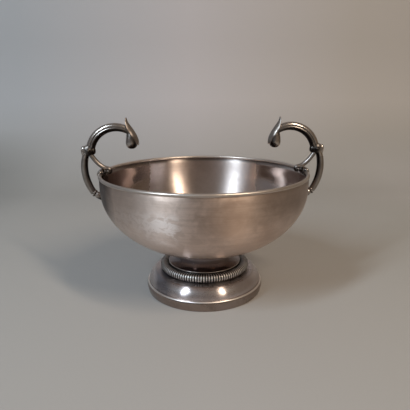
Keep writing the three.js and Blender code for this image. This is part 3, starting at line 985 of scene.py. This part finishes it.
def old_dirt_and_shade(piece):
    """Old dirt on the main casting, on the knot and, thinner, the lower arm, and painted shade on the arch's
    lower reeds.
    """
    x, _, z = vertex_rows(piece, "co").T / MM
    knot_dirt = KNOT_DIRT * np.exp(-(np.hypot(x - KNOT[0] + 0.5, z - KNOT[1]) / KNOT_REACH) ** 4)
    knot_dirt *= np.clip((KNOT[0] + KNOT_OUTWARD - x) / SHORT_FADE, 0, 1)
    from_middle = np.hypot(x - ARCH_MIDDLE[0], z - ARCH_MIDDLE[1])
    on_arch = np.clip((z - KNOT[1] - 1.5) / LONG_FADE, 0, 1) * (from_middle > ARCH_RADIUS - ARCH_THICK * 0.6)
    # Painted shade on the arch's inner, lower reeds.
    reed_shade = REED_SHADE * np.clip((ARCH_RADIUS + 0.6 - from_middle) / SHORT_FADE, 0, 1) * on_arch
    arm_dirt = ARM_DIRT * np.clip((KNOT[1] - 3 - z) / LONG_FADE, 0, 1)
    return np.max((knot_dirt, reed_shade, arm_dirt), axis=0)


def scroll():
    """The main casting: lower arm, knot, arch and bud in one skin."""
    parts = [lower_arm(), up_to_leaf(arch()), up_to_leaf(bud()), *knot()]
    return melted("handle_right", parts, cast_plate, CAST_VOXEL, CAST_SMOOTHING)


def leaf_lift(t, s, front):
    """How far a face of the leaf stands off its middle line. t runs down it, s across it from -1 to 1."""
    thick = LEAF_THICK / 2 * min(1, 0.3 + 1.6 * t) * math.sqrt(max(0.02, 1 - abs(s) ** 2.5))
    cup = LEAF_CUP * math.sin(math.pi * t) * s * s
    if not front:
        return -thick - cup
    vein = VEIN_HEIGHT * math.exp(-((s / VEIN_WIDTH) ** 2))
    side_veins = math.cos(2 * math.pi * (SIDE_VEINS * t + SIDE_VEIN_LEAN * abs(s))) * abs(s) * (1 - abs(s))
    return thick - cup + vein + SIDE_VEIN_HEIGHT * side_veins


def leaf():
    """A leaf cupped round the arch's end, with a raised vein, side veins and lobed edges."""
    points, outs = along(leaf_path())
    verts, faces = [], []
    for front in (False, True):
        for i, (middle, out) in enumerate(zip(points, outs)):
            t = i / LEAF_STEPS
            blade = math.sin(math.pi * min(0.84, 0.05 + t * 0.8))
            lobes = 1 + LOBE_DEPTH * math.cos(2 * math.pi * LEAF_LOBES * t)
            half = LEAF_WIDE / 2 * max(0.08, blade * lobes)
            for s in np.linspace(-1, 1, LEAF_COLUMNS + 1):
                point = middle + out * leaf_lift(t, s, front)
                verts.append((point[0], s * half, point[1]))
    row, sheet = LEAF_COLUMNS + 1, (LEAF_STEPS + 1) * (LEAF_COLUMNS + 1)
    for i in range(LEAF_STEPS):
        for k in range(LEAF_COLUMNS):
            corner = i * row + k
            faces.append((corner, corner + 1, corner + row + 1, corner + row))
            faces.append(tuple(v + sheet for v in (corner, corner + row, corner + row + 1, corner + 1)))
    edge = [i * row for i in range(LEAF_STEPS + 1)]
    edge += [LEAF_STEPS * row + k for k in range(1, LEAF_COLUMNS + 1)]
    edge += [i * row + LEAF_COLUMNS for i in range(LEAF_STEPS - 1, -1, -1)]
    edge += [k for k in range(LEAF_COLUMNS - 1, 0, -1)]
    for v, n in zip(edge, edge[1:] + edge[:1]):
        faces.append((v, n, n + sheet, v + sheet))
    return mesh_object("leaf_right", np.array(verts), faces, leaf_plate)


def strut():
    """Down from the knot, level over the rim, then a curl over the inside of the bowl."""
    start = KNOT + np.array((-0.8, -2.4))
    eye = on_handle(-CURL_INSET, 0.3)
    top = eye + np.array((0, CURL_RADIUS))
    corner = np.array(((start[0] + top[0]) / 2 + 0.3, top[1] + 0.9))
    path = bend(start, corner, top, STRUT_STEPS)
    for degrees in np.linspace(CURL_START, CURL_END, CURL_STEPS):
        path.append(tuple(on_arc(eye, CURL_RADIUS * (1 - degrees / CURL_CLOSE), 90 + degrees)))

    def size(t):
        taper = 1 - STRUT_TAPER * max(0, (t - TAPER_START) / (1 - TAPER_START))
        return STRUT_THICK / 2 * taper, STRUT_WIDE / 2 * taper**0.5

    parts = [tube(*along(path), STRUT_SIDES, size), ball((eye[0], 0, eye[1] - 0.1), *CURL_BEAD)]
    return melted("strut_right", parts, strut_plate, FINE_VOXEL, FINE_SMOOTHING)


def saddle():
    """A pad bent along the rim, wrapped over the wire, with a bead at each end."""
    half = SADDLE_SPAN / 2 / WIRE_RING
    wire_z = RIM_Z - RIM_WIRE / 2
    verts = []
    for t in np.linspace(-1, 1, SADDLE_ROWS):
        thick = RIM_WIRE / 2 + GAP + SADDLE_WALL * (1 - 0.6 * t * t)
        for turn in np.linspace(0, 2 * math.pi, SADDLE_SIDES, endpoint=False):
            radius = WIRE_RING + thick * math.cos(turn)
            height = wire_z + thick * math.sin(turn)
            verts.append((radius * math.cos(t * half), radius * math.sin(t * half), height))
    faces = sleeve(SADDLE_ROWS, SADDLE_SIDES)
    x, y = WIRE_RING * math.cos(half), WIRE_RING * math.sin(half)
    cap(verts, faces, 0, SADDLE_SIDES, (x, -y, wire_z))
    cap(verts, faces, SADDLE_ROWS - 1, SADDLE_SIDES, (x, y, wire_z))
    parts = [(np.array(verts), faces)]
    for side in (-1, 1):
        parts.append(ball((x, side * y, RIM_Z + 0.5), *SADDLE_BEAD))
    return melted("rim_pad_right", parts, cast_plate, FINE_VOXEL, FINE_SMOOTHING)


def boss():
    """A turned boss on the wall, with a collar that takes the foot of the arm."""
    head = on_arc(ARM_MIDDLE, ARM_ARC_RADIUS, arm_angle(-ARM_FOOT_DROP))
    half = BOSS_WIDE / 2
    outline = [
        (0, -BOSS_LENGTH * 0.7),
        (half * 0.8, -BOSS_LENGTH * 0.7),
        (half * 0.95, -3.2, 1),
        (half * 0.76, -1.6, 0.5),
        (half * 1.0, -1.1, 0.35),
        (half * 1.0, 0, 0.35),
        (0, 0.2),
    ]
    verts, faces = revolve(rounded(outline, 5, closed=False), SMALL_ROUND_STEPS)
    lean = math.radians(BOSS_LEAN)
    x = verts[:, 0] * math.cos(lean) + verts[:, 2] * math.sin(lean)
    z = -verts[:, 0] * math.sin(lean) + verts[:, 2] * math.cos(lean)
    verts = np.stack([x + head[0], verts[:, 1], z + head[1]], 1)
    return mesh_object("boss_right", verts, faces, cast_plate)


def handles():
    """Every sub-part of the right handle, with dirt in its hollows and, on the main casting, painted shade
    on the arch's lower reeds, and its mirror image on the left.
    """
    made = (
        (scroll(), "scroll", "cast_plate"),
        (leaf(), "leaf", "cast_plate"),
        (strut(), "strut", "cast_plate"),
        (saddle(), "rim_saddle", "cast_plate"),
        (boss(), "wall_boss", "dark_plate"),
    )
    for piece, part, slot in made:
        dirt = hollows(piece)
        # The main casting also gets old dirt and painted shade on the arch's lower reeds.
        if part == "scroll":
            dirt = np.maximum(dirt, old_dirt_and_shade(piece))
        store_dirt_and_shade(piece, dirt)
        other = mirrored(piece, piece.name.replace("right", "left"))
        finish_piece(piece, slot, f"handle_right_{part}")
        finish_piece(other, slot, f"handle_left_{part}")


# Stage, light and camera

YAW = 2.7
CAMERA_DISTANCE = 315.0
CAMERA_HEIGHT = 153.2
CAMERA_SIDE = 0.7
CAMERA_DOWN = 15.05
CAMERA_ROLL = -0.23
FOCAL_PIXELS = 411.0
PHOTO_PIXELS = 410.0
SENSOR = 36.0

# The paper that the bowl stands on
PAPER_FRONT = -1400
PAPER_BACK = 330
PAPER_BEND = 260
PAPER_TOP = 1500
PAPER_HALF = 1500

# Where its tones change, in millimetres: to the left, to the right, up the wall and far back on the floor
TO_LEFT = (0, -350)
TO_RIGHT = (0, 350)
UP_WALL = (0, 140)
FAR_BACK = (140, 280)
FAR_LOW = (90, 20)
FAR_LEFT = (-240, -400)
FAR_RIGHT = (150, 350)

# Its tones, from left to right. Their changes are painted light: darker and cooler on the left, darker and
# warmer on the right, and a brighter wall.
FLOOR_TONES = ((0.375, 0.38, 0.375), (0.43, 0.41, 0.395), (0.37, 0.345, 0.305))
WALL_TONES = ((0.47, 0.49, 0.52), (0.60, 0.56, 0.565), (0.53, 0.48, 0.435))
FAR_LEFT_TONE = (0.26, 0.26, 0.255)
FAR_RIGHT_TONE = (0.46, 0.43, 0.40)
GRAIN_TONE = (0.3, 0.28, 0.26)

# The room's dim light
ROOM_LEFT = (0.16, 0.155, 0.16)
ROOM_RIGHT = (0.20, 0.155, 0.115)
ROOM_CEILING = (0.20, 0.18, 0.16)

# The two windows: angles in degrees, distance and size in metres, height of the aim, power in watts
WINDOW_DISTANCE = 1.3
WINDOW_AIM = 60
WINDOWS = {
    "left_window": dict(azimuth=-49, elevation=41, size=(0.13, 0.66), power=9.5, tint=(0.74, 0.88, 1.0)),
    "right_window": dict(azimuth=40, elevation=47, size=(0.11, 0.66), power=7.6, tint=(1.0, 0.85, 0.68)),
}


def camera():
    """The photograph's camera, turned with the object's small turn on the table."""
    data = bpy.data.cameras.new("camera")
    data.sensor_width = SENSOR
    data.lens = SENSOR * FOCAL_PIXELS / PHOTO_PIXELS
    data.clip_start = 0.01
    data.clip_end = 20
    made = linked("camera", data)
    yaw, down, roll = (math.radians(v) for v in (YAW, CAMERA_DOWN, CAMERA_ROLL))
    turn = Matrix.Rotation(-yaw, 3, "Z")
    right = turn @ Vector((1, 0, 0))
    ahead = turn @ Vector((0, math.cos(down), -math.sin(down)))
    up = right.cross(ahead)
    rolled_right = math.cos(roll) * right + math.sin(roll) * up
    rolled_up = -math.sin(roll) * right + math.cos(roll) * up
    matrix = Matrix((rolled_right, rolled_up, -ahead)).transposed().to_4x4()
    matrix.translation = (turn @ Vector((CAMERA_SIDE, -CAMERA_DISTANCE, CAMERA_HEIGHT))) * MM
    made.matrix_world = matrix
    bpy.context.scene.camera = made


def paper():
    """The tones of floor and backdrop, which carry painted light, with a fine grain."""
    material = bpy.data.materials.new("paper")
    material.use_nodes = True
    nodes = Nodes(material.node_tree)
    shader = material.node_tree.nodes["Principled BSDF"]
    x, y, z = nodes.axes()
    bands = []
    for left_tone, middle_tone, right_tone in (FLOOR_TONES, WALL_TONES):
        band = nodes.mix(nodes.ramp(x, TO_LEFT), middle_tone, left_tone)
        bands.append(nodes.mix(nodes.ramp(x, TO_RIGHT), band, right_tone))
    tone = nodes.mix(nodes.ramp(z, UP_WALL), *bands)
    far = nodes.times(nodes.ramp(y, FAR_BACK), nodes.ramp(z, FAR_LOW))
    tone = nodes.mix(nodes.times(far, nodes.ramp(x, FAR_LEFT)), tone, FAR_LEFT_TONE)
    tone = nodes.mix(nodes.times(far, nodes.ramp(x, FAR_RIGHT)), tone, FAR_RIGHT_TONE)
    grain = nodes.between(nodes.noise(PAPER_GRAIN, 2, 0.5), 0.3, 0.7, 0, 0.06)
    nodes.put(shader.inputs["Base Color"], nodes.mix(grain, tone, GRAIN_TONE))
    nodes.put(shader.inputs["Roughness"], 0.9)
    nodes.put(shader.inputs["Specular IOR Level"], 0.15)
    return material


def sweep():
    """Floor that curves up into the backdrop. Its points at y = 0 keep the floor in front shaded flat."""
    line = [(PAPER_FRONT, 0), (0, 0), (PAPER_BACK, 0)]
    line += arc((PAPER_BACK, PAPER_BEND), PAPER_BEND, -90, 0, 16)[1:]
    line.append((PAPER_BACK + PAPER_BEND, PAPER_TOP))
    verts = [(x, y, z) for y, z in line for x in (-PAPER_HALF, PAPER_HALF)]
    faces = [(2 * i, 2 * i + 1, 2 * i + 3, 2 * i + 2) for i in range(len(line) - 1)]
    mesh_object("floor", verts, faces, paper())


def window(name, azimuth, elevation, size, power, tint):
    """A soft light at an angle from the front, aimed at the bowl."""
    data = bpy.data.lights.new(name, "AREA")
    data.shape = "RECTANGLE"
    data.size, data.size_y = size
    data.energy = power
    data.color = tint
    made = linked(name, data)
    a, e = math.radians(azimuth), math.radians(elevation)
    away = Vector((math.sin(a) * math.cos(e), -math.cos(a) * math.cos(e), math.sin(e)))
    made.location = away * WINDOW_DISTANCE + Vector((0, 0, WINDOW_AIM * MM))
    made.rotation_mode = "QUATERNION"
    made.rotation_quaternion = (-away).to_track_quat("-Z", "Y")


def world():
    """A dim even room, a little cooler on the left and warmer on the right."""
    made = bpy.data.worlds.new("room")
    bpy.context.scene.world = made
    made.use_nodes = True
    nodes = Nodes(made.node_tree)
    direction = nodes.new("ShaderNodeTexCoord").outputs["Generated"]
    x, _, z = nodes.new("ShaderNodeSeparateXYZ", {"Vector": direction}).outputs
    tone = nodes.mix(nodes.between(x, -0.8, 0.8), ROOM_LEFT, ROOM_RIGHT)
    tone = nodes.mix(nodes.between(z, 0.35, 0.9), tone, ROOM_CEILING)
    nodes.put(made.node_tree.nodes["Background"].inputs["Color"], tone)


camera()
sweep()
world()
for name, settings in WINDOWS.items():
    window(name, **settings)
bpy.context.scene.view_settings.view_transform = "Standard"

bowl_shell()
rim_wire()
neck()
gadroons()
foot_dome()
foot_band()
handles()
